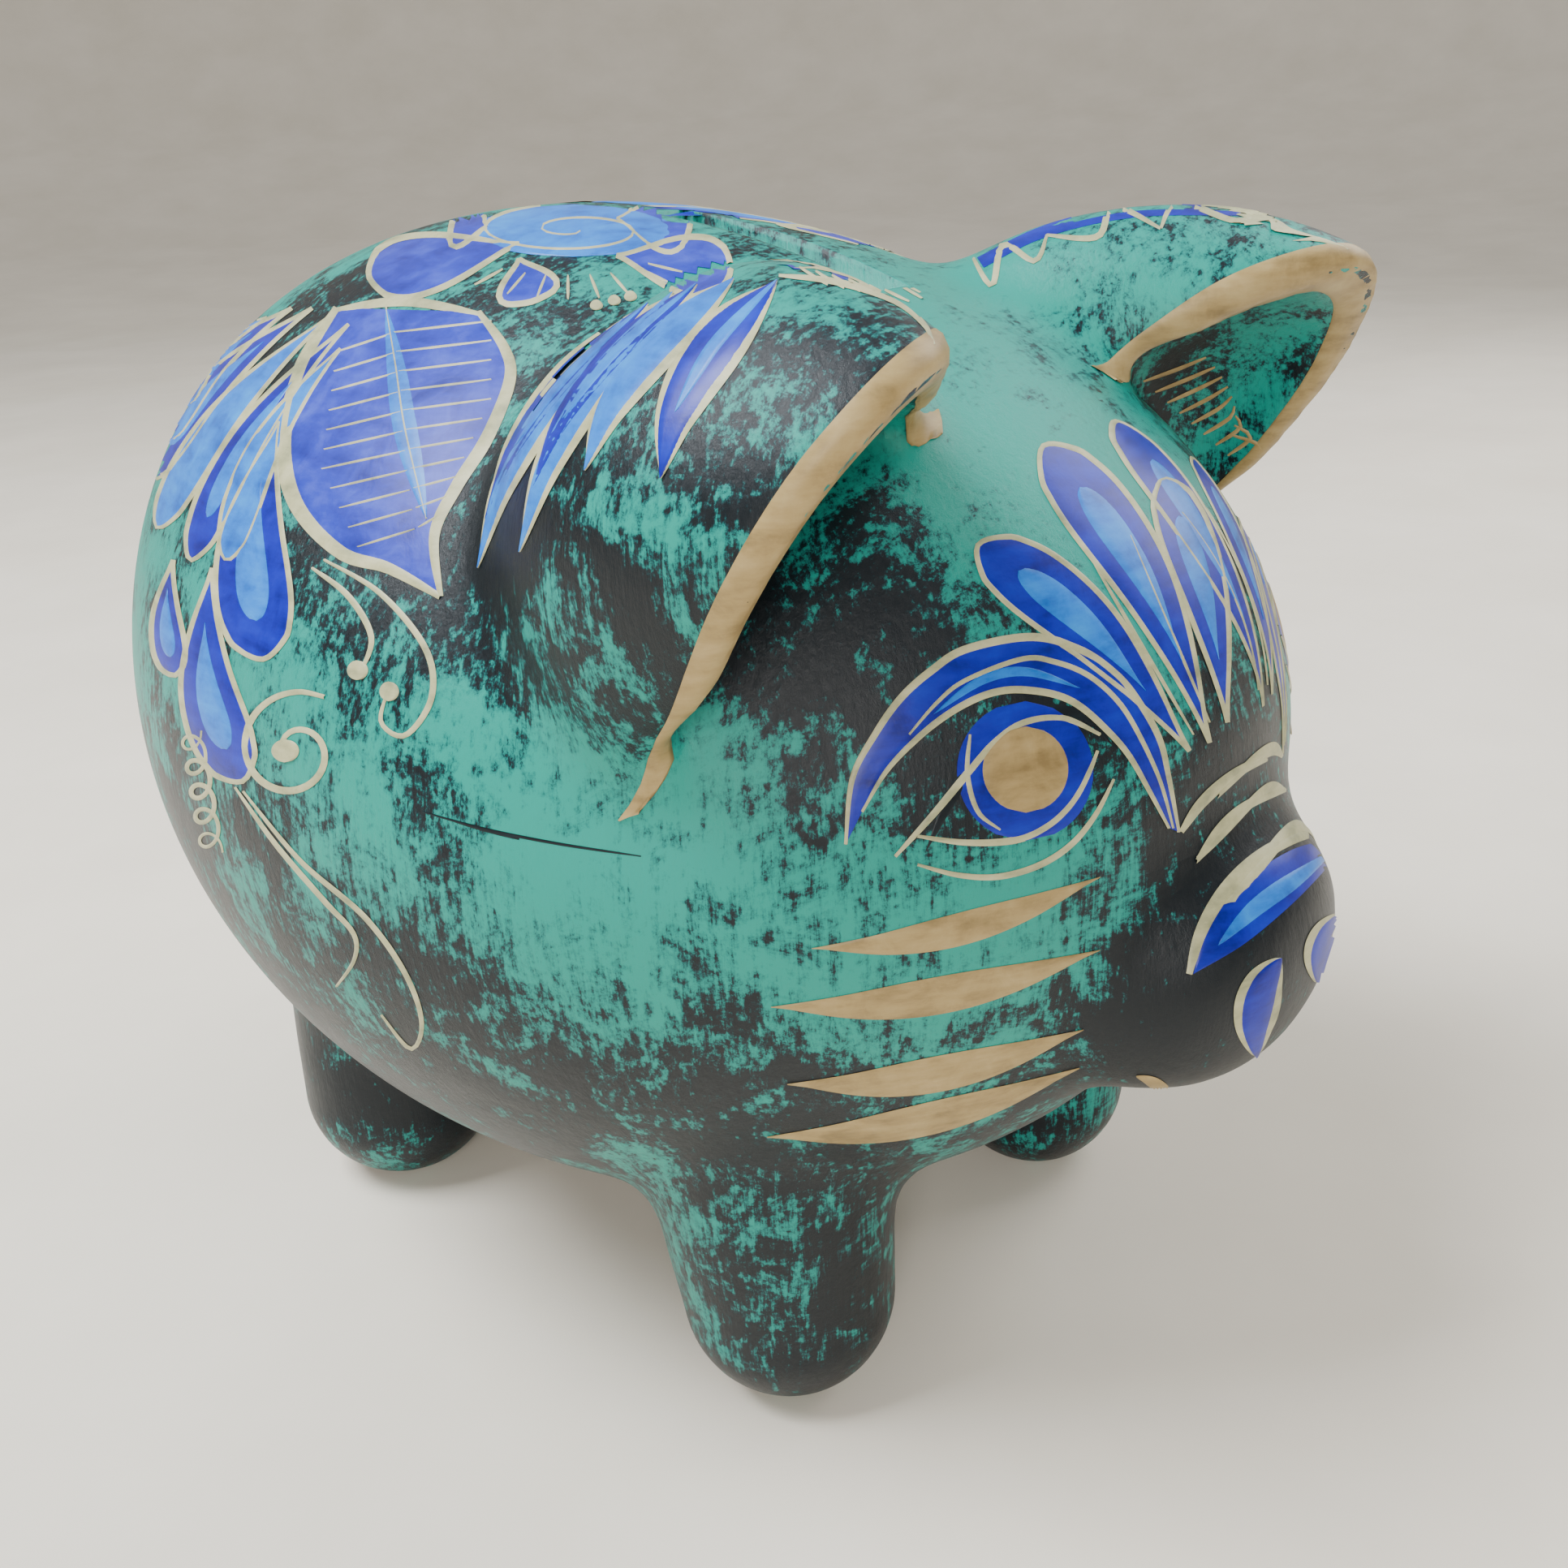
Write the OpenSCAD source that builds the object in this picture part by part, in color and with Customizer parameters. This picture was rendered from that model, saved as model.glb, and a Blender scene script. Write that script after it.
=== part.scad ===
// Hollow clay piggy bank: two shell halves, snout, two cupped ears, four stub legs, a curled tail
// and a rubber stopper in the belly. The pig faces -Y, its right side is -X, and it stands on z = 0.

/* [Body] */
// Half of the body's length, front to back
half_length = 77.2; // [60:0.1:90]
// Half of the body's width at the middle
half_width = 57.6; // [45:0.1:70]
// Height of the back above the seam
upper_height = 57.2; // [45:0.1:70]
// Depth of the belly below the seam
lower_height = 57.7; // [45:0.1:70]
// Height of the seam above the floor
seam_height = 68.0; // [60:0.1:80]
// Thickness of the clay wall
wall = 4.6; // [3:0.1:7]

/* [Coin slot] */
// Width of the slot
slot_width = 5.0; // [4.2:0.1:7]
// Length of the slot along the back
slot_length = 30; // [24:0.5:38]
// Place of the slot's middle, front to back
slot_y = -22; // [-40:0.5:10]

/* [Snout] */
// Half width of the snout
snout_x = 21.6; // [15:0.1:26]
// Half length of the snout, front to back
snout_y = 21.1; // [14:0.1:26]
// Half height of the snout
snout_z = 17.0; // [12:0.1:22]
// Upward tilt of the snout
snout_tilt = 9; // [0:1:20]

/* [Ears] */
// Thickness of the ear's rim
ear_rim = 5.4; // [3:0.1:8]
// How far the back of the ear swells
ear_bulge = 16; // [6:0.5:20]

/* [Legs] */
// Radius of a leg where it meets the belly
leg_top_radius = 14.6; // [10:0.1:18]
// Radius of a front foot
front_foot_radius = 12.0; // [8:0.1:15]
// Radius of a rear foot
rear_foot_radius = 13.0; // [8:0.1:15]

/* [Tail] */
// Radius of the rolled clay of the tail
tail_radius = 3.4; // [2.5:0.1:5]

/* [Stopper] */
// Radius of the hole in the belly
hole_radius = 12; // [9:0.1:15]
// Clearance between the stopper's shank and the hole
shank_clearance = 0.05; // [0.01:0.01:0.1]
// Radius of the stopper's flange
flange_radius = 15; // [13:0.1:18]

/* [Hidden] */
NP = 36;              // steps from the front pole to the rear pole
NT = 20;              // steps round half of a section
spot_z = seam_height - lower_height + 2.0;   // flat that the stopper's flange sits on
hole_y = 2;

// One point of the body: p runs 0 (front) to 180 (rear), t runs 0 to 360 round the section, d is the depth inside
function sec(k, a, b, p) = k * sin(p) * (1 - a * cos(p) + b * cos(2 * p));
function body_pt(p, t, d = 0) =
    let (w = sec(half_width - d, -0.10, -0.027, p),
         h = sin(t) >= 0 ? sec(upper_height - d, 0.081, 0.039, p) : sec(lower_height - d, -0.047, -0.003, p))
    [w * cos(t), -(half_length - d) * cos(p), seam_height + h * sin(t)];

// Triangles of a grid of rows r0..r0+nr and columns 0..nc, points stored row by row
function grid(o, nr, nc, flip) = [for (i = [0:nr - 1], j = [0:nc - 1])
    let (a = o + i * (nc + 1) + j, b = a + 1, c = a + nc + 1, e = c + 1)
    each (flip ? [[a, b, e], [a, e, c]] : [[a, e, b], [a, c, e]])];

// Half of the hollow body, from angle t0 over 180 degrees
module half_shell(t0) {
    nr = NP - 2;
    n1 = (nr + 1) * (NT + 1);
    rows = [for (i = [1:NP - 1]) 180 * i / NP];
    outer = [for (p = rows, j = [0:NT]) body_pt(p, t0 + 180 * j / NT)];
    inner = [for (p = rows, j = [0:NT]) body_pt(p, t0 + 180 * j / NT, wall)];
    poles = [body_pt(0, t0), body_pt(180, t0), body_pt(0, t0, wall), body_pt(180, t0, wall)];
    P = concat(outer, inner, poles);
    f0 = 2 * n1; r0 = f0 + 1; fi = f0 + 2; ri = f0 + 3;
    L = nr * (NT + 1);
    F = concat(
        grid(0, nr, NT, false), grid(n1, nr, NT, true),
        [for (j = [0:NT - 1]) [f0, j, j + 1]],
        [for (j = [0:NT - 1]) [fi, n1 + j + 1, n1 + j]],
        [for (j = [0:NT - 1]) [r0, L + j + 1, L + j]],
        [for (j = [0:NT - 1]) [ri, n1 + L + j, n1 + L + j + 1]],
        [for (i = [0:nr - 1]) let (a = i * (NT + 1), b = a + NT + 1) each [[a, n1 + a, n1 + b], [a, n1 + b, b]]],
        [for (i = [0:nr - 1]) let (a = i * (NT + 1) + NT, b = a + NT + 1) each [[a, n1 + b, n1 + a], [a, b, n1 + b]]],
        [[f0, n1, 0], [f0, fi, n1]], [[f0, NT, n1 + NT], [f0, n1 + NT, fi]],
        [[r0, L, n1 + L], [r0, n1 + L, ri]], [[r0, n1 + L + NT, L + NT], [r0, ri, n1 + L + NT]]);
    polyhedron(P, [for (q = F) [q[2], q[1], q[0]]], convexity = 6);
}

// The body as one solid, used to cut the pieces that sit on it
module body_solid() {
    nt = 2 * NT;
    nr = NP - 2;
    P = concat([for (i = [1:NP - 1], j = [0:nt - 1]) body_pt(180 * i / NP, 360 * j / nt)], [body_pt(0, 0), body_pt(180, 0)]);
    f = (nr + 1) * nt; r = f + 1;
    F = concat(
        [for (i = [0:nr - 1], j = [0:nt - 1]) let (k = (j + 1) % nt, a = i * nt + j, b = i * nt + k, c = a + nt, e = b + nt)
            each [[a, e, b], [a, c, e]]],
        [for (j = [0:nt - 1]) [f, j, (j + 1) % nt]],
        [for (j = [0:nt - 1]) [r, nr * nt + (j + 1) % nt, nr * nt + j]]);
    polyhedron(P, [for (q = F) [q[2], q[1], q[0]]], convexity = 4);
}

// A closed skin over sections that all have m points, closed by a fan at each end
module skin(S) {
    n = len(S); m = len(S[0]);
    P = concat([for (s = S) each s], [[for (k = [0:2]) [for (q = S[0]) q[k]] * [for (q = S[0]) 1] / m],
                                     [for (k = [0:2]) [for (q = S[n - 1]) q[k]] * [for (q = S[0]) 1] / m]]);
    F = concat(
        [for (i = [0:n - 2], j = [0:m - 1]) let (a = i * m + j, b = i * m + (j + 1) % m, c = a + m, e = b + m) each [[a, b, e], [a, e, c]]],
        [for (j = [0:m - 1]) [n * m, (j + 1) % m, j]],
        [for (j = [0:m - 1]) [n * m + 1, (n - 1) * m + j, (n - 1) * m + (j + 1) % m]]);
    polyhedron(P, F, convexity = 6);
}

module back_shell() color([0.10, 0.55, 0.52]) difference() {
    half_shell(0);
    translate([-slot_width / 2, slot_y - slot_length / 2, seam_height + upper_height - 22]) cube([slot_width, slot_length, 40]);
}

module belly_shell() color([0.08, 0.40, 0.40]) difference() {
    half_shell(180);
    translate([0, hole_y, 0]) cylinder(r = hole_radius, h = 30, $fn = 72);
    translate([0, hole_y, 0]) cylinder(r = flange_radius + 0.6, h = spot_z, $fn = 72);
}

// Rounded snout knob, wider than tall
module snout() color([0.04, 0.10, 0.12]) difference() {
    translate([0, -63.8, seam_height - 12.2]) rotate([snout_tilt, 0, 0])
        skin([for (i = [0:17]) let (p = 4 + 172 * i / 17) [for (j = [0:31]) let (t = 360 * j / 32)
            [snout_x * sin(p) * cos(t), -snout_y * cos(p), snout_z * sin(p) * sin(t)]]]);
    body_solid();
}

// Rim of the right ear, from its low outer end over the tip to the inner end on the forehead
RIM = [[-46, -42, 9], [-50, -52, 20.5], [-52, -60, 32], [-49.5, -65, 40.5], [-43.5, -68, 46.5], [-35.5, -67, 48.5], [-26, -60.5, 46],
       [-19, -54, 40.5], [-13, -48, 34]];
// Line where the back of the ear runs into the body
ROOT = [[-47, -38, 10], [-49, -30, 19], [-47, -24, 29], [-42, -21, 36], [-35, -20, 41], [-27, -21, 45], [-20, -24, 47],
        [-13, -29, 47], [-9, -38, 42]];
function cr(L, u) = let (n = len(L) - 1, s = u * n, i = min(floor(s), n - 1), f = s - i,
    a = L[max(i - 1, 0)], b = L[i], c = L[i + 1], d = L[min(i + 2, n)])
    0.5 * (2 * b + (c - a) * f + (2 * a - 5 * b + 4 * c - d) * f * f + (3 * b - a - 3 * c + d) * f * f * f);
function unit(v) = v / norm(v);
function bez(a, b, c, t) = a * (1 - t) * (1 - t) + b * 2 * t * (1 - t) + c * t * t;
// One section of the ear at u: rounded rim, back out to the root, then the hollow's side
function ear_loop(u) =
    let (r = cr(RIM, u), b0 = cr(ROOT, u), b = [b0[0] * 0.92, b0[1], b0[2] * 0.92], g = [-33, -57, 29],
         o = unit(r - g), th = ear_rim * (0.45 + 0.55 * sin(180 * u)),
         ax = unit(b - r), ri = r - o * th,
         out = unit((r + b) / 2 - [-20, -45, 5]),
         m = (r + b) / 2 + out * ear_bulge * (0.35 + 0.65 * sin(180 * u)),
         bi = ri + (b - r) * 0.62 - out * (4 + 7 * sin(180 * u)), mi = (ri + bi) / 2 + out * 7)
    [for (t = [0:5]) bez(r, m, b, t / 5 * 0.999),
     bi - out * 2,
     for (t = [5:-1:0]) bez(ri, mi, bi, t / 5),
     (r + ri) / 2 - ax * th * 0.42];

module right_ear() color([0.10, 0.45, 0.45]) difference() {
    translate([0, 0, seam_height]) skin([for (i = [0:26]) ear_loop(i / 26)]);
    body_solid();
}

module left_ear() color([0.10, 0.45, 0.45]) difference() {
    translate([0, 0, seam_height]) skin([for (i = [0:26]) let (q = ear_loop(i / 26)) [for (k = [len(q) - 1:-1:0]) [-q[k][0], q[k][1], q[k][2]]]]);
    body_solid();
}

// Tapered leg with a rounded foot and a small worn flat under it
module leg(tx, ty, fx, fy, fr) difference() {
    hull() {
        translate([tx, ty, 40]) sphere(r = leg_top_radius, $fn = 32);
        translate([fx, fy, fr - 1.1]) sphere(r = fr, $fn = 32);
    }
    translate([fx - 30, fy - 30, -20]) cube([60, 60, 20]);
    body_solid();
}

module front_right_leg() color([0.05, 0.25, 0.28]) leg(-27.1, -37.7, -25.9, -39.4, front_foot_radius);
module front_left_leg() color([0.05, 0.25, 0.28]) leg(27.1, -37.7, 25.9, -39.4, front_foot_radius);
module rear_right_leg() color([0.05, 0.25, 0.28]) leg(-25.3, 27.6, -27.2, 29.0, rear_foot_radius);
module rear_left_leg() color([0.05, 0.25, 0.28]) leg(25.3, 27.6, 27.2, 29.0, rear_foot_radius);

// Short rolled tail pressed into one loose curl
module tail() color([0.08, 0.35, 0.36]) difference() {
    skin([for (i = [0:22]) let (u = i / 22, q = 400 * u, R = 6.5 - 1.5 * u, tr = tail_radius * (1 - 0.45 * u),
             c = [R * sin(q) * 0.9, half_length - 5 + 10.6 * u, seam_height + 10 + R * (1 - cos(q))],
             tg = unit([R * cos(q) * 0.9 * 6.98, 10.6, R * sin(q) * 6.98]), s = unit(cross(tg, [0, 1, 0.05])), w = cross(tg, s))
        [for (j = [0:11]) let (t = -30 * j) c + tr * (s * cos(t) + w * sin(t))]]);
    body_solid();
}

// Rubber plug: flange with a pull tab below, straight shank in the hole, hollow top
module belly_stopper() color([0.12, 0.12, 0.12]) translate([0, hole_y, spot_z]) difference() {
    union() {
        translate([0, 0, -2.6]) cylinder(r = flange_radius, h = 2.6, $fn = 72);
        cylinder(r = hole_radius - shank_clearance, h = 9, $fn = 72);
        translate([-6, -1.5, -7.2]) cube([12, 3, 5]);
    }
    translate([0, 0, 1.5]) cylinder(r = hole_radius - 3.2, h = 10, $fn = 48);
}

back_shell();
belly_shell();
snout();
right_ear();
left_ear();
front_right_leg();
front_left_leg();
rear_right_leg();
rear_left_leg();
tail();
belly_stopper();
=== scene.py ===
import bpy, math
import numpy as np
from mathutils import Vector, Matrix
from mathutils.bvhtree import BVHTree


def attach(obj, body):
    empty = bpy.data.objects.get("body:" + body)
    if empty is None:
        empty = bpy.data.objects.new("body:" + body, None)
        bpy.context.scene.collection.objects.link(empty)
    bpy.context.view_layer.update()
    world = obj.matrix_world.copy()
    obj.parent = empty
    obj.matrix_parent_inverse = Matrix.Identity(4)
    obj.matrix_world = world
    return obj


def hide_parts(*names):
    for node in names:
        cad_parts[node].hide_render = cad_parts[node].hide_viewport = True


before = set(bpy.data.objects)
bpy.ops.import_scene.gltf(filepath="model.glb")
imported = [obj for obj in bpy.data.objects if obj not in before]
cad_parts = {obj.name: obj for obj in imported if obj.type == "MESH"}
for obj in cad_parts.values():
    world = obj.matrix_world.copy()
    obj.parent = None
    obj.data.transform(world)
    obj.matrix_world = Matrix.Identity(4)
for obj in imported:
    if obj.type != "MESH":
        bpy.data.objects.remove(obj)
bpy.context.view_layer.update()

rng = np.random.default_rng(5)
SEAM = 68.0
A, W, HU, HL = 77.2, 57.6, 57.2, 57.7


# ---------- clay form, in millimetres, on the same numbers as the CAD part ----------
def sec(k, a, b, p):
    return k * np.sin(p) * (1 - a * np.cos(p) + b * np.cos(2 * p))


def grid_faces(n, m, wrap=True):
    f = []
    mm = m if wrap else m - 1
    for i in range(n - 1):
        for j in range(mm):
            k = (j + 1) % m
            f.append((i * m + j, i * m + k, (i + 1) * m + k, (i + 1) * m + j))
    return f


def closed(P, flip=False):
    """Sections P[n][m][3] with a fan at each end."""
    n, m = P.shape[:2]
    v = np.concatenate([P.reshape(-1, 3), P[0].mean(0)[None], P[-1].mean(0)[None]])
    f = grid_faces(n, m)
    f += [(n * m, (j + 1) % m, j) for j in range(m)]
    f += [(n * m + 1, (n - 1) * m + j, (n - 1) * m + (j + 1) % m) for j in range(m)]
    if flip:
        f = [q[::-1] for q in f]
    return v, f


def body():
    p = np.radians(np.linspace(.8, 179.2, 130))[:, None]
    t = np.radians(np.arange(0, 360, 2.5))[None]
    w = sec(W, -.10, -.027, p)
    h = np.where(np.sin(t) >= 0, sec(HU, .081, .039, p), sec(HL, -.047, -.003, p))
    P = np.stack([w * np.cos(t), -A * np.cos(p) + 0 * t, SEAM + h * np.sin(t)], -1)
    return closed(P, True)


def snout():
    p = np.radians(np.linspace(2, 178, 50))[:, None]
    t = np.radians(np.arange(0, 360, 5))[None]
    # slightly squared off towards the front disc
    r = np.sin(p) ** .82
    P = np.stack([21.6 * r * np.cos(t), -21.1 * np.cos(p) + 0 * t, 17.0 * r * np.sin(t)], -1)
    c, s = math.cos(math.radians(9)), math.sin(math.radians(9))
    P = np.stack([P[..., 0], P[..., 1] * c - P[..., 2] * s - 63.8, P[..., 1] * s + P[..., 2] * c + SEAM - 12.2], -1)
    return closed(P, True)


RIM = np.array([[-46, -42, 9], [-50, -52, 20.5], [-52, -60, 32], [-49.5, -65, 40.5], [-43.5, -68, 46.5], [-35.5, -67, 48.5], [-26, -60.5, 46],
                [-19, -54, 40.5], [-13, -48, 34]], float)
ROOT = np.array([[-47, -38, 10], [-49, -30, 19], [-47, -24, 29], [-42, -21, 36], [-35, -20, 41], [-27, -21, 45],
                 [-20, -24, 47], [-13, -29, 47], [-9, -38, 42]], float)


def cr(L, u):
    n = len(L) - 1
    s = u * n
    i = min(int(s), n - 1)
    f = s - i
    a, b, c, d = L[max(i - 1, 0)], L[i], L[i + 1], L[min(i + 2, n)]
    return .5 * (2 * b + (c - a) * f + (2 * a - 5 * b + 4 * c - d) * f * f + (3 * b - a - 3 * c + d) * f ** 3)


def unit(v):
    return v / np.linalg.norm(v)


def bez(a, b, c, t):
    return a * (1 - t) ** 2 + b * 2 * t * (1 - t) + c * t * t


def ear_loop(u):
    r = cr(RIM, u)
    b = cr(ROOT, u) * [.92, 1, .92]
    g = np.array([-33, -57, 29])
    sw = math.sin(math.pi * u)
    o = unit(r - g)
    th = 5.4 * (.45 + .55 * sw)
    ax = unit(b - r)
    ri = r - o * th
    out = unit((r + b) / 2 - np.array([-20, -45, 5]))
    m = (r + b) / 2 + out * 16 * (.35 + .65 * sw)
    bi = ri + (b - r) * .62 - out * (4 + 7 * sw)
    mi = (ri + bi) / 2 + out * 7
    L = [bez(r, m, b, t) for t in np.linspace(0, 1, 16)] + [bi - out * 2] + [bez(ri, mi, bi, t) for t in np.linspace(1, 0, 14)]
    L += [(r + ri) / 2 - ax * th * .42]
    return np.array(L)


def ear(side):
    P = np.array([ear_loop(u) for u in np.linspace(0, 1, 70)]) + [0, 0, SEAM]
    if side > 0:
        P = P * [-1, 1, 1]
    return closed(P, side > 0)


def leg(tx, ty, fx, fy, fr):
    a, b = np.array([tx, ty, 40.]), np.array([fx, fy, fr - 1.1])
    d = a - b
    l = np.linalg.norm(d)
    ax = d / l
    s = unit(np.cross(ax, [0, 1, 0]))
    w = np.cross(ax, s)
    prof = [(fr * math.sin(q), -fr * math.cos(q)) for q in np.radians(np.linspace(3, 92, 18))]
    prof += [(14.6 * math.sin(q), l - 14.6 * math.cos(q)) for q in np.radians(np.linspace(92, 177, 18))]
    t = np.radians(np.arange(0, 360, 6))
    P = np.array([[b + ax * z + r * (s * math.cos(x) + w * math.sin(x)) for x in t] for r, z in prof])
    P[..., 2] = np.maximum(P[..., 2], 0)
    return closed(P)


def tail():
    S = []
    for u in np.linspace(0, 1, 50):
        q = math.radians(400 * u)
        R = 6.5 - 1.5 * u
        tr = 3.4 * (1 - .45 * u)
        c = np.array([R * math.sin(q) * .9, A - 5 + 10.6 * u, SEAM + 10 + R * (1 - math.cos(q))])
        tg = unit(np.array([R * math.cos(q) * .9 * 6.98, 10.6, R * math.sin(q) * 6.98]))
        s = unit(np.cross(tg, [0, 1, .05]))
        w = np.cross(tg, s)
        S.append([c + tr * (s * math.cos(t) + w * math.sin(t)) for t in np.radians(np.arange(0, -360, -20))])
    return closed(np.array(S))


def tomesh(name, v, f, mm=True):
    me = bpy.data.meshes.new(name)
    me.from_pydata([tuple(x) for x in (np.asarray(v) * (1e-3 if mm else 1))], [], [tuple(int(k) for k in q) for q in f])
    me.validate()
    me.update()
    o = bpy.data.objects.new(name, me)
    bpy.context.scene.collection.objects.link(o)
    return o


def box(lo, hi):
    v = [(x, y, z) for x in (lo[0], hi[0]) for y in (lo[1], hi[1]) for z in (lo[2], hi[2])]
    return np.array(v), [(0, 1, 3, 2), (4, 6, 7, 5), (0, 4, 5, 1), (2, 3, 7, 6), (0, 2, 6, 4), (1, 5, 7, 3)]


def cyl(r, z0, z1, cx, cy, n=64):
    t = np.linspace(0, 2 * np.pi, n, endpoint=False)
    P = np.array([[[cx + r * math.cos(x), cy + r * math.sin(x), z] for x in t] for z in (z0, z1)])
    return closed(P)


PARTS = {
    "body": body(), "snout": snout(), "right_ear": ear(-1), "left_ear": ear(1),
    "front_right_leg": leg(-27.1, -37.7, -25.9, -39.4, 12.0), "front_left_leg": leg(27.1, -37.7, 25.9, -39.4, 12.0),
    "rear_right_leg": leg(-25.3, 27.6, -27.2, 29.0, 13.0), "rear_left_leg": leg(25.3, 27.6, 27.2, 29.0, 13.0),
    "tail": tail()}

vs, fs, off = [], [], 0
for k, (v, f) in PARTS.items():
    vs.append(v)
    fs += [tuple(i + off for i in q) for q in f]
    off += len(v)
clay = tomesh("clay_tmp", np.concatenate(vs), fs)


def apply_mods(o):
    dg = bpy.context.evaluated_depsgraph_get()
    me = bpy.data.meshes.new_from_object(o.evaluated_get(dg))
    o.modifiers.clear()
    o.data = me


m = clay.modifiers.new("r", "REMESH")
m.mode = "VOXEL"
m.voxel_size = .0009
apply_mods(clay)


def arrays(me):
    v = np.empty(len(me.vertices) * 3)
    me.vertices.foreach_get("co", v)
    e = np.empty(len(me.edges) * 2, int)
    me.edges.foreach_get("vertices", e)
    return v.reshape(-1, 3), e.reshape(-1, 2)


def smooth(v, e, w, n, lam=.5):
    N = len(v)
    deg = np.bincount(e.ravel(), minlength=N).astype(float)
    deg[deg == 0] = 1
    for _ in range(n):
        s = np.stack([np.bincount(e[:, 0], v[e[:, 1], k], N) + np.bincount(e[:, 1], v[e[:, 0], k], N) for k in range(3)], -1)
        v = v + lam * w[:, None] * (s / deg[:, None] - v)
    return v


V, E = arrays(clay.data)
BV = {k: BVHTree.FromPolygons([tuple(x) for x in (v * 1e-3)], f) for k, (v, f) in PARTS.items()}


def dists(P, name, lo=None, hi=None, far=.02):
    d = np.full(len(P), far)
    v = PARTS[name][0] * 1e-3
    a, b = v.min(0) - .008, v.max(0) + .008
    for i in np.nonzero(((P > a) & (P < b)).all(1))[0]:
        r = BV[name].find_nearest(P[i])
        if r[0] is not None:
            d[i] = min(r[3], far)
    return d


D = {k: dists(V, k) for k in PARTS}
wt = np.zeros(len(V))
for k in PARTS:
    if k == "body":
        continue
    rad = .0075 if "ear" in k else .0055 if "leg" in k or k == "snout" else .002
    wt = np.maximum(wt, np.clip(1.25 - np.maximum(D["body"], D[k]) / rad, 0, 1))
low = V[:, 2] < .0004
V = smooth(V, E, np.where(low, 0, np.clip(wt, 0, 1)), 60)
V = smooth(V, E, np.where(low, 0, 1.0), 3)
clay.data.vertices.foreach_set("co", V.ravel())
clay.data.update()

# the coin slot and the stopper's hole
for nm, (v, f) in {"slot": box((-2.5, -37, 106), (2.5, -7, 140)), "hole": cyl(12, -5, 26, 0, 2), "spot": cyl(15.6, -5, 12.3, 0, 2)}.items():
    c = tomesh("cut_" + nm, v, f)
    mod = clay.modifiers.new(nm, "BOOLEAN")
    mod.operation = "DIFFERENCE"
    mod.object = c
    mod.solver = "EXACT"
    apply_mods(clay)
    bpy.data.objects.remove(c)

V, E = arrays(clay.data)
skin = BVHTree.FromPolygons([tuple(x) for x in V], [tuple(p.vertices) for p in clay.data.polygons])

# ---------- camera ----------
az, el, roll = math.radians(-48.98), math.radians(23.32), math.radians(-2.74)
back = np.array([math.sin(az) * math.cos(el), -math.cos(az) * math.cos(el), math.sin(el)])
right = np.array([math.cos(az), math.sin(az), 0])
up = np.cross(back, right)
c_, s_ = math.cos(roll), math.sin(roll)
RR = np.array([c_ * right + s_ * up, -s_ * right + c_ * up, back])
FOC = 1892.3
tt = np.array([(812.8 - 966) * 163.94 / FOC, -(830.4 - 966) * 163.94 / FOC, -163.94])
EYE = (-RR.T @ tt) * 1.17e-3 + np.array([0, 0, .06805])
cam = bpy.data.cameras.new("camera")
cam.sensor_width = 36
cam.lens = FOC / 1932 * 36
cam.clip_start = .01
co = bpy.data.objects.new("camera", cam)
co.matrix_world = Matrix([[RR[0][i], RR[1][i], RR[2][i], EYE[i]] for i in range(3)] + [[0, 0, 0, 1]])
bpy.context.scene.collection.objects.link(co)
bpy.context.scene.camera = co


# ---------- materials ----------
def mat(name):
    m = bpy.data.materials.new(name)
    m.use_nodes = True
    nt = m.node_tree
    return m, nt, nt.nodes["Principled BSDF"]


def noise(nt, scale, detail=6, rough=.6, vec=None, dist=0):
    n = nt.nodes.new("ShaderNodeTexNoise")
    n.inputs["Scale"].default_value = scale
    n.inputs["Detail"].default_value = detail
    n.inputs["Roughness"].default_value = rough
    n.inputs["Distortion"].default_value = dist
    if vec is not None:
        nt.links.new(vec, n.inputs["Vector"])
    return n.outputs["Fac"]


def math_(nt, op, a, b=None, clamp=False):
    n = nt.nodes.new("ShaderNodeMath")
    n.operation = op
    n.use_clamp = clamp
    for i, x in enumerate((a, b)):
        if x is None:
            continue
        if isinstance(x, (int, float)):
            n.inputs[i].default_value = x
        else:
            nt.links.new(x, n.inputs[i])
    return n.outputs[0]


def mapped(nt, scale, rot=(0, 0, 0)):
    tc = nt.nodes.new("ShaderNodeTexCoord")
    mp = nt.nodes.new("ShaderNodeMapping")
    mp.inputs["Scale"].default_value = scale
    mp.inputs["Rotation"].default_value = rot
    nt.links.new(tc.outputs["Object"], mp.inputs["Vector"])
    return mp.outputs["Vector"]


def ramp(nt, fac, stops):
    r = nt.nodes.new("ShaderNodeValToRGB")
    while len(r.color_ramp.elements) < len(stops):
        r.color_ramp.elements.new(.5)
    for e, (p, c) in zip(r.color_ramp.elements, stops):
        e.position = p
        e.color = (*c, 1)
    nt.links.new(fac, r.inputs["Fac"])
    return r.outputs["Color"]


def bump(nt, h, dist, bs, strength=.5):
    b = nt.nodes.new("ShaderNodeBump")
    b.inputs["Distance"].default_value = dist
    b.inputs["Strength"].default_value = strength
    nt.links.new(h, b.inputs["Height"])
    nt.links.new(b.outputs["Normal"], bs.inputs["Normal"])


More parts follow.
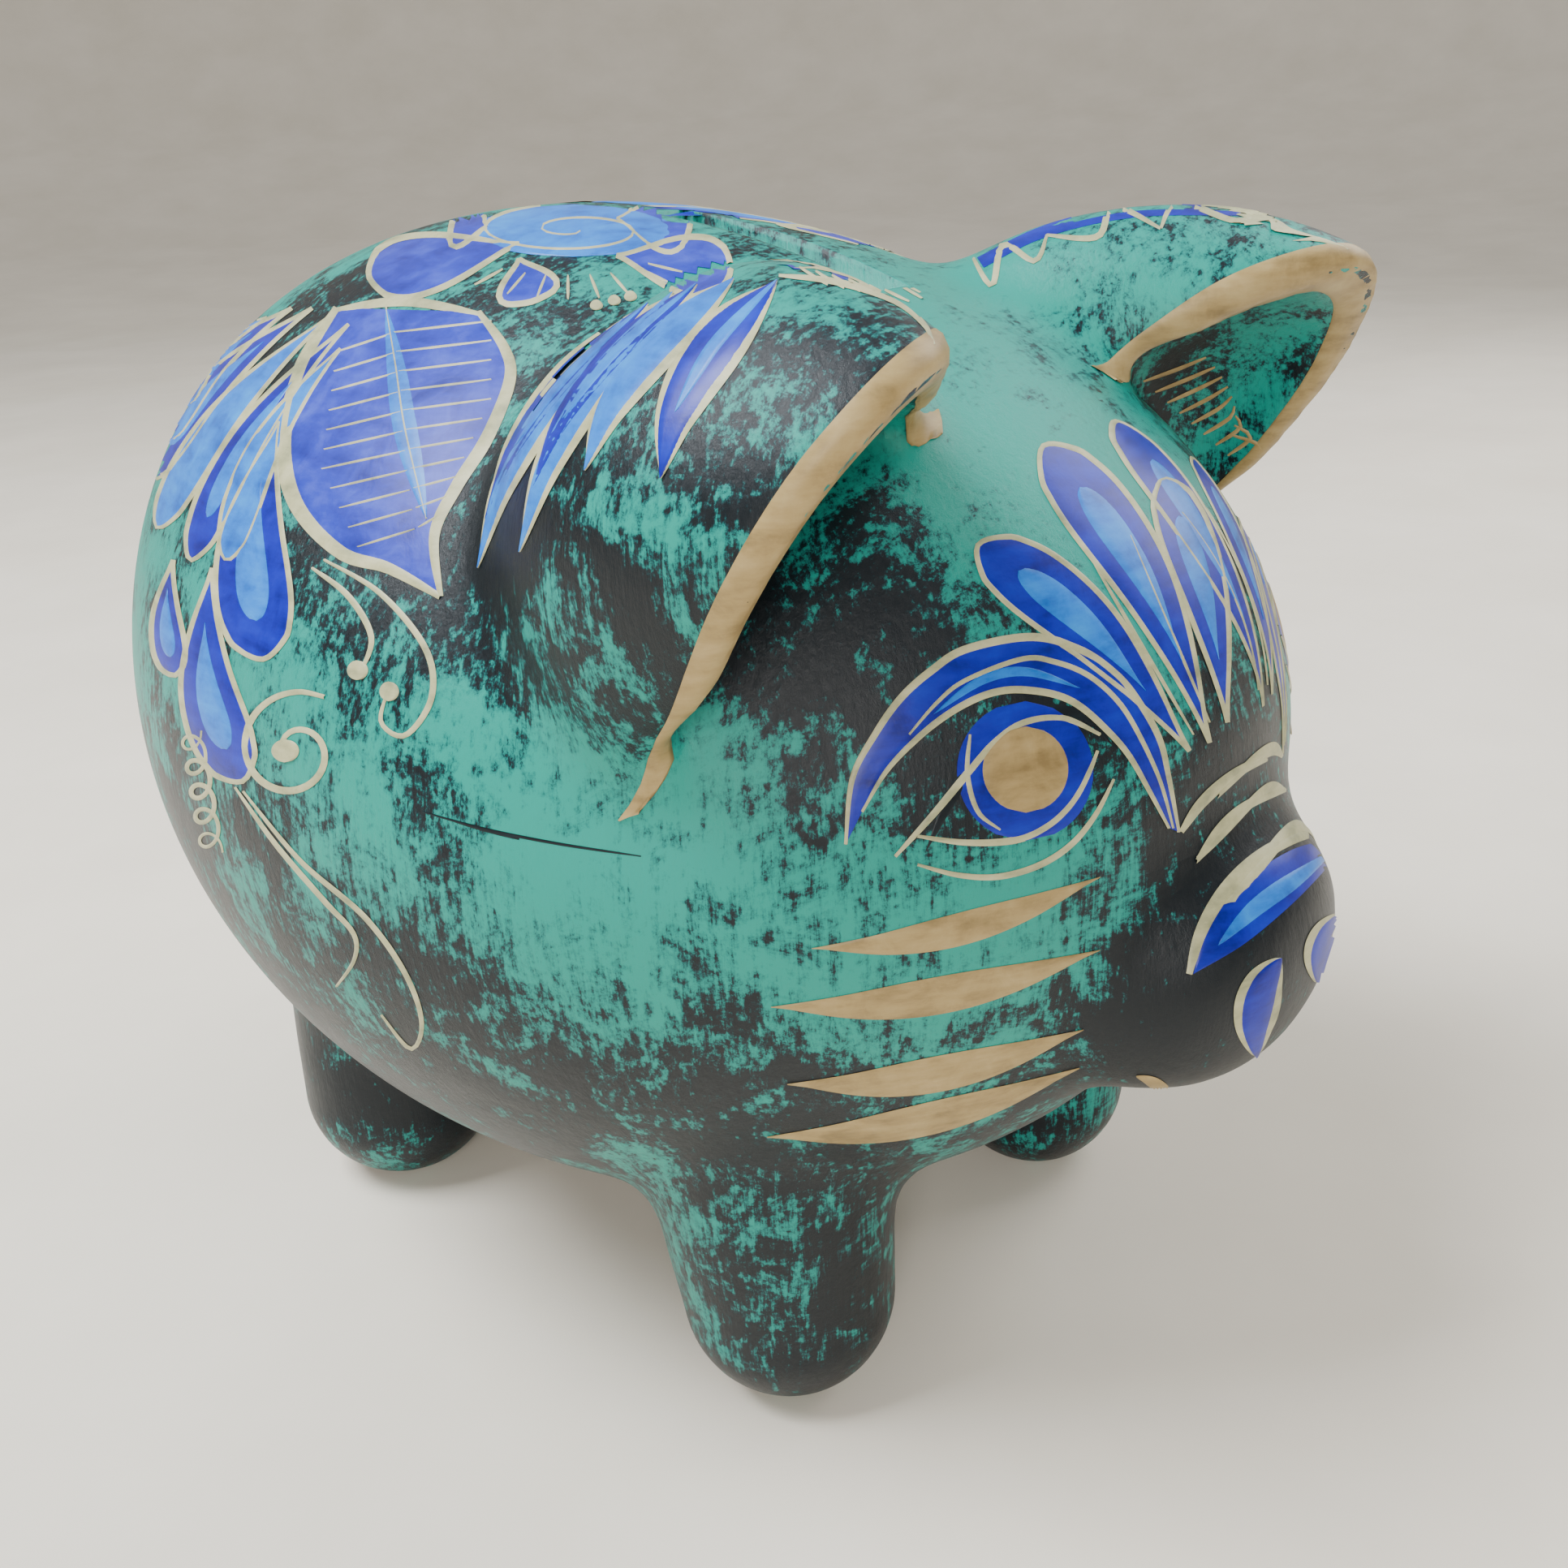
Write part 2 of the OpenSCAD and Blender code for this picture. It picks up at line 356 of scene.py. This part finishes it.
def clay_material():
    m, nt, bs = mat("clay_turquoise")
    # the vertex attribute read here mixes the brushed-on turquoise coverage with painted shade low down and in the ear
    # hollows and painted sheen on top
    at = nt.nodes.new("ShaderNodeAttribute")
    at.attribute_name = "teal_and_shade"
    streak1 = noise(nt, 1, 9, .75, mapped(nt, (1300, 1300, 150), (.5, .2, .3)), .2)
    streak2 = noise(nt, 1, 9, .75, mapped(nt, (170, 1200, 1200), (.2, .5, .9)), .2)
    blot = noise(nt, 150, 12, .72, mapped(nt, (1, 1, 1)), .5)
    big = noise(nt, 45, 4, .5, mapped(nt, (1, 1, 1)))
    s = at.outputs["Fac"]
    for x, k in ((streak1, 1.7), (streak2, 1.2), (blot, 2.4), (big, 1.4)):
        s = math_(nt, "ADD", s, math_(nt, "MULTIPLY", math_(nt, "SUBTRACT", x, .5), k))
    col = ramp(nt, s, [(.36, (.001, .004, .007)), (.44, (.001, .017, .023)), (.51, (.0005, .065, .068)), (.60, (.0005, .17, .145)), (.82, (.001, .25, .20))])
    nt.links.new(col, bs.inputs["Base Color"])
    bs.inputs["Specular IOR Level"].default_value = .3
    r = math_(nt, "ADD", math_(nt, "MULTIPLY", blot, .25), .24)
    nt.links.new(r, bs.inputs["Roughness"])
    bump(nt, math_(nt, "ADD", streak1, math_(nt, "MULTIPLY", noise(nt, 900, 3, .6, mapped(nt, (1, 1, 1))), .6)), .0003, bs, .35)
    return m


def paint(name, dark, mid, light, rough=.36):
    m, nt, bs = mat(name)
    bs.inputs["Specular IOR Level"].default_value = .3
    n1 = noise(nt, 220, 6, .65, mapped(nt, (1, 1, 1)), .4)
    n2 = noise(nt, 1, 5, .6, mapped(nt, (140, 140, 600), (.4, .3, .2)))
    s = math_(nt, "ADD", math_(nt, "MULTIPLY", n1, .5), math_(nt, "MULTIPLY", n2, .5))
    nt.links.new(ramp(nt, s, [(.36, dark), (.5, mid), (.66, light)]), bs.inputs["Base Color"])
    nt.links.new(math_(nt, "ADD", math_(nt, "MULTIPLY", n1, .22), rough - .11), bs.inputs["Roughness"])
    bump(nt, n1, .00015, bs, .3)
    return m


M = {
    "clay": clay_material(),
    "cobalt": paint("paint_cobalt", (.0005, .002, .14), (.001, .006, .30), (.004, .02, .42)),
    "violet": paint("paint_violet", (.004, .01, .22), (.012, .026, .38), (.04, .07, .5)),
    "sky": paint("paint_sky", (.001, .07, .36), (.002, .15, .58), (.015, .24, .68)),
    "cream": paint("paint_cream", (.22, .23, .13), (.38, .37, .21), (.50, .48, .30), .42),
    "ochre": paint("paint_ochre", (.19, .13, .05), (.31, .22, .09), (.40, .30, .14), .45),
    "black": paint("paint_black", (.002, .004, .007), (.003, .008, .012), (.006, .02, .025), .3)}


# ---------- split the clay skin into the named pieces ----------
P = np.array([p.center for p in clay.data.polygons])
names = list(PARTS)
DD = np.stack([dists(P, k) for k in names], -1)
who = DD.argmin(1)
who[(DD[:, 0] < .0012)] = 0
faces = [tuple(p.vertices) for p in clay.data.polygons]
lab = np.array([names[i] for i in who], dtype=object)
lab[(who == 0) & (P[:, 2] >= .068)] = "back_shell"
lab[(who == 0) & (P[:, 2] < .068)] = "belly_shell"

# turquoise weight, partly the brushed-on coverage and partly painted light and shade: more (+) over the top as painted
# sheen, less (-) in the ear hollows, under the ears, towards the bottom and on the feet as painted shade; centre in mm,
# radius in mm, weight
TEAL_AND_SHADE_BLOBS = [((-15, -50, 112), 24, .75), ((15, -50, 112), 24, .75), ((0, -55, 106), 24, .8), ((-54, -36, 76), 20, .8), ((-50, -50, 66), 16, .6),
         ((-57, -14, 84), 20, .5), ((54, -36, 76), 20, .7), ((-30, -66, 62), 13, .7), ((30, -66, 62), 13, .6), ((-28, -74, 84), 10, .2),
         ((-40, -34, 92), 18, -.75), ((40, -34, 92), 18, -.6), ((-34, -62, 92), 14, -.75), ((-54, -2, 44), 26, -.35), ((-46, -36, 40), 22, -.5), ((0, -80, 56), 20, -1.4),
         ((-26, -40, 12), 16, -.35), ((-27, 29, 12), 16, -.5), ((26, -40, 12), 16, -.4), ((27, 29, 12), 16, -.4), ((0, 0, 8), 40, -.5),
         ((-30, 40, 90), 40, .3), ((30, 40, 90), 40, .3), ((-58, 14, 66), 20, .35), ((-33, -32, 24), 9, .8), ((0, 60, 60), 30, .2), ((-33, -56, 100), 10, -.7), ((33, -56, 100), 10, -.7)]
bank_pieces = []
for nm in sorted(set(lab)):
    idx = np.nonzero(lab == nm)[0]
    used = sorted({i for q in idx for i in faces[q]})
    ren = {o: n for n, o in enumerate(used)}
    o = tomesh("skin_" + nm, V[used], [tuple(ren[i] for i in faces[q]) for q in idx], False)
    v = V[used] * 1e3
    # base turquoise weight plus the blobs' painted shade and painted sheen
    a = np.full(len(v), .46)
    for c, r, w in TEAL_AND_SHADE_BLOBS:
        a += .42 * w * np.exp(-((v - np.array(c)) ** 2).sum(1) / (r * r))
    at = o.data.attributes.new("teal_and_shade", "FLOAT", "POINT")
    at.data.foreach_set("value", np.clip(a, .12, .92))
    o.data.materials.append(M["clay"])
    for p in o.data.polygons:
        p.use_smooth = True
    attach(o, "bank")
    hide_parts(nm)
    bank_pieces.append(o)
bpy.data.objects.remove(clay)

# ---------- brush strokes ----------
def cast(u, v):
    d = (np.array([(u - 966) / FOC, -(v - 966) / FOC, -1.0]) @ RR)
    d /= np.linalg.norm(d)
    h = skin.ray_cast(Vector(EYE), Vector(d))
    return (np.array(h[0]), np.array(h[1])) if h[0] is not None else None


PAINT = {k: ([], []) for k in ("cobalt", "violet", "sky", "cream", "ochre", "black")}
LAYER = {"black": .00003, "cobalt": .00006, "violet": .00006, "sky": .00011, "cream": .00016, "ochre": .00016}


def resample(pts, n):
    pts = np.array(pts, float)
    if len(pts) == 2:
        pts = np.stack([pts[0] * (1 - t) + pts[1] * t for t in (0, .33, .67, 1)])
    dense = np.array([cr(pts, x) for x in np.linspace(0, 1, 24 * len(pts))])
    s = np.r_[0, np.cumsum(np.linalg.norm(np.diff(dense, axis=0), axis=1))]
    q = np.linspace(0, s[-1], n)
    return np.stack([np.interp(q, s, dense[:, k]) for k in range(2)], -1)


def patch(L, R, col, nw=5, mirror=True, lift=0, clip=None):
    n = len(L)
    h = LAYER[col] + lift
    pts, ok, deep = [], [], []
    for i in range(n):
        for j in range(nw):
            t = j / (nw - 1)
            q = L[i] * (1 - t) + R[i] * t
            r = cast(*q)
            good = r is not None
            if good and clip is not None and (r[0][0] * clip < -.0006):
                good = False
            ok.append(good)
            if good:
                edge = 1 if 0 < j < nw - 1 else .25
                pts.append(r[0] + r[1] * (h * edge + .00001))
            else:
                pts.append(np.zeros(3))
    pts = np.array(pts)
    fc = []
    for i in range(n - 1):
        for j in range(nw - 1):
            q = (i * nw + j, i * nw + j + 1, (i + 1) * nw + j + 1, (i + 1) * nw + j)
            if all(ok[k] for k in q):
                dd = max(np.linalg.norm(pts[q[a]] - pts[q[(a + 1) % 4]]) for a in range(4))
                if dd < .009:
                    fc.append(q)
    vv, ff = PAINT[col]
    for s in ((1, -1) if mirror else (1,)):
        o = sum(len(x) for x in vv)
        vv.append(pts * [s, 1, 1])
        ff += [tuple(k + o for k in (q if s > 0 else q[::-1])) for q in fc]


def line(pts, w, col="cream", mirror=True, taper=.25, n=None, clip=None):
    """Brush line: w is the full width, taper the width left at each end."""
    L = np.array(pts, float)
    ln = np.linalg.norm(np.diff(L, axis=0), axis=1).sum()
    n = n or max(8, int(ln / 7))
    c = resample(pts, n)
    t = np.gradient(c, axis=0)
    t /= np.linalg.norm(t, axis=1)[:, None] + 1e-9
    nn = np.stack([-t[:, 1], t[:, 0]], -1)
    x = np.linspace(0, 1, n)
    ww = w / 2 * (taper + (1 - taper) * np.sin(np.pi * np.clip(x, .02, .98)) ** .5)[:, None]
    patch(c - nn * ww, c + nn * ww, col, 3, mirror, clip=clip)


def lens(pts, w, col, mirror=True, p=.8, n=40, skew=.5, clip=None, lift=0):
    """Pointed or drop-shaped stroke: widest at skew along its length."""
    c = resample(pts, n)
    t = np.gradient(c, axis=0)
    t /= np.linalg.norm(t, axis=1)[:, None] + 1e-9
    nn = np.stack([-t[:, 1], t[:, 0]], -1)
    x = np.linspace(0, 1, n)
    g = np.where(x < skew, x / skew * .5, .5 + (x - skew) / (1 - skew) * .5)
    ww = (w / 2 * np.sin(np.pi * g) ** p)[:, None]
    patch(c - nn * ww, c + nn * ww, col, 7, mirror, lift, clip)


def drop(tail_, bulb, w, mirror=True, outer="cobalt", inner="sky", edge=7, bend=(0, 0), clip=None):
    """Petal: cream outline, outer fill, inner drop; runs from its narrow end to its round end."""
    a, b = np.array(tail_, float), np.array(bulb, float)
    m = (a + b) / 2 + np.array(bend)
    pts = [a, (a + m) / 2 + np.array(bend) * .2, m, (m + b) / 2 + np.array(bend) * .2, b]

    def shape(sc, ww, col, lo, hi):
        n = 46
        c = resample(pts, 200)
        k = np.linspace(lo * 199, hi * 199, n)
        c = np.stack([np.interp(k, np.arange(200), c[:, q]) for q in range(2)], -1)
        t = np.gradient(c, axis=0)
        t /= np.linalg.norm(t, axis=1)[:, None] + 1e-9
        nn = np.stack([-t[:, 1], t[:, 0]], -1)
        x = np.linspace(0, 1, n)
        prof = np.where(x < .74, np.sin(np.pi / 2 * x / .74) ** 1.3, np.sqrt(np.clip(1 - ((x - .74) / .26) ** 2, 0, 1)))
        return c, nn * (ww / 2 * prof)[:, None]
    c, q = shape(1, w, outer, 0, 1)
    patch(c - q, c + q, outer, 9, mirror, clip=clip)
    if inner:
        c2, q2 = shape(1, w * .5, inner, .25, .84)
        patch(c2 - q2, c2 + q2, inner, 7, mirror, clip=clip)
    if edge:
        loop = np.concatenate([c - q, (c + q)[::-1]])
        loop = loop[np.r_[True, np.linalg.norm(np.diff(loop, axis=0), axis=1) > .4]]
        line([tuple(x) for x in loop[::3]] + [tuple(loop[-1])], edge, "cream", mirror, .8, clip=clip)


def spiral(cx, cy, r0, r1, turns, start, w, col="cream", sx=1, sy=1, mirror=True, clip=None):
    t = np.linspace(0, 1, int(14 * turns) + 4)
    a = start + t * turns * 2 * np.pi
    r = r0 + (r1 - r0) * t
    line([(cx + sx * q * math.cos(b), cy + sy * q * math.sin(b)) for q, b in zip(r, a)], w, col, mirror, .5, clip=clip)


def disc(cx, cy, rx, ry, col, mirror=True, clip=None):
    y = np.linspace(-1, 1, 22)
    h = np.sqrt(np.clip(1 - y * y, 0, 1))
    patch(np.stack([cx - rx * h, cy + ry * y], -1), np.stack([cx + rx * h, cy + ry * y], -1), col, 13, mirror, clip=clip)


N = -1  # only the near side of the middle line, then mirrored

# eye
lens([(1140, 1050), (1190, 955), (1262, 885), (1330, 880), (1372, 920)], 20, "black")
disc(1263, 950, 84, 86, "cobalt")
disc(1263, 948, 54, 53, "ochre")
line([(1103, 1055), (1150, 1003), (1190, 955), (1225, 915), (1262, 890), (1310, 885), (1355, 905)], 10)
line([(1130, 1030), (1190, 1038), (1250, 1035), (1290, 1018), (1320, 990), (1340, 955), (1352, 925)], 9)
line([(1130, 1065), (1180, 1078), (1230, 1080), (1280, 1066), (1320, 1040), (1350, 1003), (1372, 960)], 8)
line([(1195, 905), (1192, 955), (1205, 1000), (1232, 1022)], 7)
# brow
o1 = [(1042, 1040), (1050, 960), (1078, 905), (1110, 860), (1148, 826), (1190, 800), (1270, 785), (1330, 800), (1372, 828), (1400, 860), (1428, 910), (1440, 960), (1452, 1025)]
i1 = [(1062, 1000), (1092, 950), (1130, 910), (1165, 882), (1200, 862), (1230, 852), (1260, 850), (1300, 856), (1330, 870), (1362, 898), (1390, 930), (1416, 975), (1440, 1020)]
patch(resample(o1, 60), resample(i1, 60), "cobalt", 7)
line(o1, 10, n=90)
line(i1, 9, n=80)
line([(1120, 905), (1155, 865), (1190, 838), (1260, 812), (1300, 816), (1340, 832), (1375, 862), (1400, 900), (1428, 960), (1445, 1020)], 8)
lens([(1150, 880), (1210, 838), (1265, 828), (1330, 848)], 14, "sky")
# whiskers
for a, b, w in (((1000, 1168), (1355, 1080), 40), ((950, 1240), (1355, 1170), 46), ((970, 1335), (1335, 1268), 44), ((945, 1400), (1330, 1315), 40)):
    mx, my = (a[0] + b[0]) / 2, (a[1] + b[1]) / 2 + 22
    lens([a, ((a[0] + mx) / 2, (a[1] + my) / 2 + 6), (mx, my), ((b[0] + mx) / 2, (b[1] + my) / 2 + 5), b], w, "ochre", p=1.1, n=60)
# forehead fan
drop((1465, 925), (1205, 672), 84, bend=(10, -22))
drop((1490, 915), (1285, 550), 82, bend=(22, -18))
drop((1512, 890), (1432, 590), 62, mirror=False, bend=(12, -8))
for a, b in (((1345, 690), (1470, 905)), ((1392, 660), (1490, 890))):
    line([a, b], 5, clip=N)
# nose bridge and snout
line([(1455, 1025), (1476, 994), (1500, 970), (1530, 948), (1560, 935)], 14)
line([(1475, 1060), (1505, 1018), (1540, 990), (1590, 970)], 12)
line([(1465, 1200), (1478, 1152), (1500, 1110), (1528, 1076), (1560, 1050), (1592, 1034), (1625, 1025)], 18)
patch(resample([(1470, 1200), (1490, 1140), (1535, 1085), (1590, 1048), (1640, 1034)], 40), resample([(1470, 1200), (1530, 1165), (1585, 1120), (1625, 1080), (1655, 1044)], 40), "cobalt", 9, False)
lens([(1500, 1165), (1545, 1120), (1600, 1080), (1640, 1050)], 26, "sky", False)
for c, w in (([(1577, 1180), (1556, 1215), (1545, 1260), (1547, 1302)], 46), ([(1650, 1125), (1634, 1150), (1624, 1180), (1622, 1212)], 30)):
    lens(c, w + 10, "cream", False, .7)
    lens(c, w, "cobalt", False, .7, lift=.00016)
lens([(1400, 1325), (1425, 1336), (1455, 1362)], 16, "ochre")

# top flower
for c, b in (((640, 300), (455, 340)), ((640, 320), (655, 372)), ((760, 315), (900, 335)), ((600, 280), (560, 266)), ((760, 270), (850, 276))):
    drop(c, b, 74, outer="violet", inner=None, edge=8, clip=N)
disc(707, 285, 124, 32, "sky", clip=N)
spiral(707, 284, 10, 122, 1.6, .6, 7, sy=.26, clip=N)
for a in np.radians([60, 75, 90, 105, 120, 140, 20, 35]):
    line([(700 + 105 * math.cos(a), 318 + 22 * math.sin(a)), (700 + 150 * math.cos(a), 318 + 52 * math.sin(a))], 4, clip=N)
for q in ((735, 377), (757, 371), (777, 366)):
    disc(q[0], q[1], 8, 6, "cream", clip=N)
for k in range(6):
    line([(985 + 20 * k, 330 + 5 * k), (1020 + 20 * k, 352 + 4 * k)], 4, clip=N)
line([(960, 340), (1030, 348), (1100, 370), (1138, 400), (1150, 425)], 9)

# big leaf
lf = [(415, 380), (372, 450), (350, 540), (365, 620), (420, 680), (480, 700), (543, 735)]
rt = [(590, 385), (622, 430), (628, 470), (600, 540), (562, 600), (535, 660), (543, 735)]
patch(resample(lf, 50), resample(rt, 50), "violet", 21)
line(lf, 20, n=80)
line(rt, 17, n=80)
line([(415, 382), (500, 372), (590, 387)], 12)
lens([(476, 379), (488, 450), (500, 530), (526, 640)], 34, "sky", skew=.55)
line([(476, 379), (488, 450), (500, 530), (526, 640)], 5)
for k in range(11):
    y = 400 + 24 * k
    line([(482 + k * 3, y + 12), (415 - 3 * k + (k > 6) * 14 * (k - 6), y + 34)], 3.5)
    line([(486 + k * 3, y + 10), (606 - (k > 4) * 11 * (k - 4), y - 4)], 3.5)

# teardrops and the blades down the rump
drop((345, 520), (325, 812), 92, bend=(-24, 0))
drop((262, 700), (300, 962), 74, bend=(-26, 10))
drop((214, 690), (216, 832), 40, bend=(-10, 0))
for k, (a, b, w) in enumerate((((430, 400), (235, 690), 46), ((405, 392), (195, 650), 42), ((385, 380), (188, 590), 40), ((420, 430), (280, 690), 44), ((360, 380), (205, 545), 36), ((330, 392), (230, 500), 30))):
    drop(a, b, w, outer="cobalt" if k % 2 == 0 else "sky", inner="sky" if k % 2 == 0 else None, edge=6, bend=(-22, -10), clip=N)

# near ear back blades
for k, (a, b, w) in enumerate((((958, 348), (815, 590), 62), ((905, 345), (722, 580), 50), ((860, 352), (660, 600), 42), ((830, 362), (642, 680), 38), ((800, 376), (600, 640), 34), ((770, 395), (590, 700), 30))):
    m1 = ((a[0] * .62 + b[0] * .38) - 22, (a[1] * .62 + b[1] * .38) - 12)
    m2 = ((a[0] * .3 + b[0] * .7) - 24, (a[1] * .3 + b[1] * .7) - 8)
    lens([a, m1, m2, b], w + 9, "cream", skew=.42, p=.9, clip=N)
    lens([a, m1, m2, b], w, "cobalt" if k % 2 == 0 else "sky", skew=.42, p=.9, clip=N, lift=.00016 if k % 2 == 0 else .00011)
    if k % 2 == 0:
        lens([a, m1, m2], w * .35, "sky", skew=.6, clip=N, lift=.00016)

# far ear: V strokes and hatching in the hollow (mirrored to the near ear)
zz = [(1196, 312), (1222, 352), (1236, 302), (1275, 322), (1290, 290), (1352, 292), (1372, 255), (1430, 282), (1452, 250), (1520, 272), (1552, 262)]
patch(resample([(1196, 306), (1290, 262), (1400, 238), (1520, 246)], 30), resample([(1212, 330), (1290, 292), (1400, 268), (1530, 266)], 30), "cobalt", 5)
line([tuple(q) for q in zz[:5]], 8)
line([tuple(q) for q in zz[4:8]], 8)
line([tuple(q) for q in zz[7:]], 8)
for k in range(9):
    line([(1408 + 15 * k, 470 + 13 * k), (1450 + 13 * k, 455 + 12 * k), (1486 + 12 * k - k * k, 440 + 12 * k)], 5, "ochre")

# scrolls
line([(385, 700), (430, 735), (458, 785), (445, 828)], 8)
disc(441, 826, 13, 12, "cream")
line([(400, 690), (470, 732), (525, 800), (532, 860), (500, 906), (470, 890), (478, 852)], 8)
disc(480, 852, 12, 12, "cream")
spiral(363, 925, 8, 76, 1.45, 2.4, 9)
disc(352, 925, 17, 14, "cream")
line([(290, 970), (340, 1040), (400, 1110), (436, 1150), (437, 1182), (415, 1215)], 7)
line([(300, 975), (370, 1060), (450, 1130), (500, 1200), (520, 1260), (506, 1292), (470, 1250)], 7)
lp = []
for k in range(60):
    a = k / 59 * 2 * math.pi * 5
    lp.append((238 + 26 * k / 59 + 13 * math.cos(a) - 2, 900 + 150 * k / 59 + 15 * math.sin(a)))
line(lp, 6, n=160)

line([(520, 1000), (600, 1022), (690, 1040), (790, 1055)], 4, "black", False)
line([(560, 1012), (640, 1034)], 5, "black", False)

# ochre band on the ear rims, laid along the rim itself
def rim_band(side):
    n, w = 90, 9
    vv, ff = PAINT["ochre"]
    pts = []
    for u in np.linspace(.015, .985, n):
        L = ear_loop(u)
        r, ri, mid = L[0], L[-2], L[-1]
        out = L[1]
        cand = [r * .75 + out * .25, r, (r + mid) / 2, mid, (mid + ri) / 2, ri, ri * .8 + L[-3] * .2]
        for j, q in enumerate(cand):
            q = (q + [0, 0, SEAM]) * 1e-3
            if side > 0:
                q = q * [-1, 1, 1]
            h = skin.find_nearest(Vector(q))
            pts.append(np.array(h[0]) + np.array(h[1]) * (.00016 if 0 < j < 6 else .00004))
    o = sum(len(x) for x in vv)
    vv.append(np.array(pts))
    for i in range(n - 1):
        for j in range(6):
            q = (o + i * 7 + j, o + i * 7 + j + 1, o + (i + 1) * 7 + j + 1, o + (i + 1) * 7 + j)
            ff.append(q if side < 0 else q[::-1])


rim_band(-1)
rim_band(1)

for k, (vv, ff) in PAINT.items():
    if not ff:
        continue
    o = tomesh("paint_" + k, np.concatenate(vv), ff, False)
    o.data.materials.append(M[k])
    for p in o.data.polygons:
        p.use_smooth = True
    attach(o, "bank")

# ---------- stopper ----------
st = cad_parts["belly_stopper"]
mr, nt, bs = mat("rubber")
nz = noise(nt, 400, 4, .6, mapped(nt, (1, 1, 1)))
nt.links.new(ramp(nt, nz, [(.3, (.012, .012, .012)), (.7, (.03, .03, .03))]), bs.inputs["Base Color"])
nt.links.new(math_(nt, "ADD", math_(nt, "MULTIPLY", nz, .2), .55), bs.inputs["Roughness"])
st.data.materials.clear()
st.data.materials.append(mr)

# ---------- floor, light ----------
prof = [(.001, 0), (.6, 0), (1.2, 0), (1.6, .04), (1.9, .15), (2.1, .35), (2.2, .7), (2.25, 1.3)]
ring = np.radians(np.arange(0, 360, 5))
me = bpy.data.meshes.new("floor")
me.from_pydata([(r * math.cos(t), r * math.sin(t), z) for r, z in prof for t in ring], [], grid_faces(len(prof), len(ring)))
for p in me.polygons:
    p.use_smooth = True
fl = bpy.data.objects.new("floor", me)
bpy.context.scene.collection.objects.link(fl)
mf, nt, bs = mat("floor")
nz = noise(nt, 14, 5, .6, mapped(nt, (1, 1, 1)))
nt.links.new(ramp(nt, nz, [(.3, (.72, .66, .56)), (.7, (.80, .74, .64))]), bs.inputs["Base Color"])
bs.inputs["Roughness"].default_value = .8
me.materials.append(mf)


def area(name, loc, size, power, colr=(1, 1, 1)):
    l = bpy.data.lights.new(name, "AREA")
    l.size = size
    l.energy = power
    l.color = colr
    o = bpy.data.objects.new(name, l)
    o.location = loc
    o.rotation_euler = (Vector((0, 0, .06)) - Vector(loc)).to_track_quat("-Z", "Y").to_euler()
    bpy.context.scene.collection.objects.link(o)


area("key", (-.35, .25, .8), .4, 15, (.93, .97, 1))
area("fill", (-.7, -.6, .45), .35, 6.5, (1, .97, .93))
area("rim", (.6, -.2, .5), .5, 4.0)
w = bpy.data.worlds.new("world")
w.use_nodes = True
w.node_tree.nodes["Background"].inputs["Color"].default_value = (.95, .97, 1, 1)
w.node_tree.nodes["Background"].inputs["Strength"].default_value = .5
bpy.context.scene.world = w
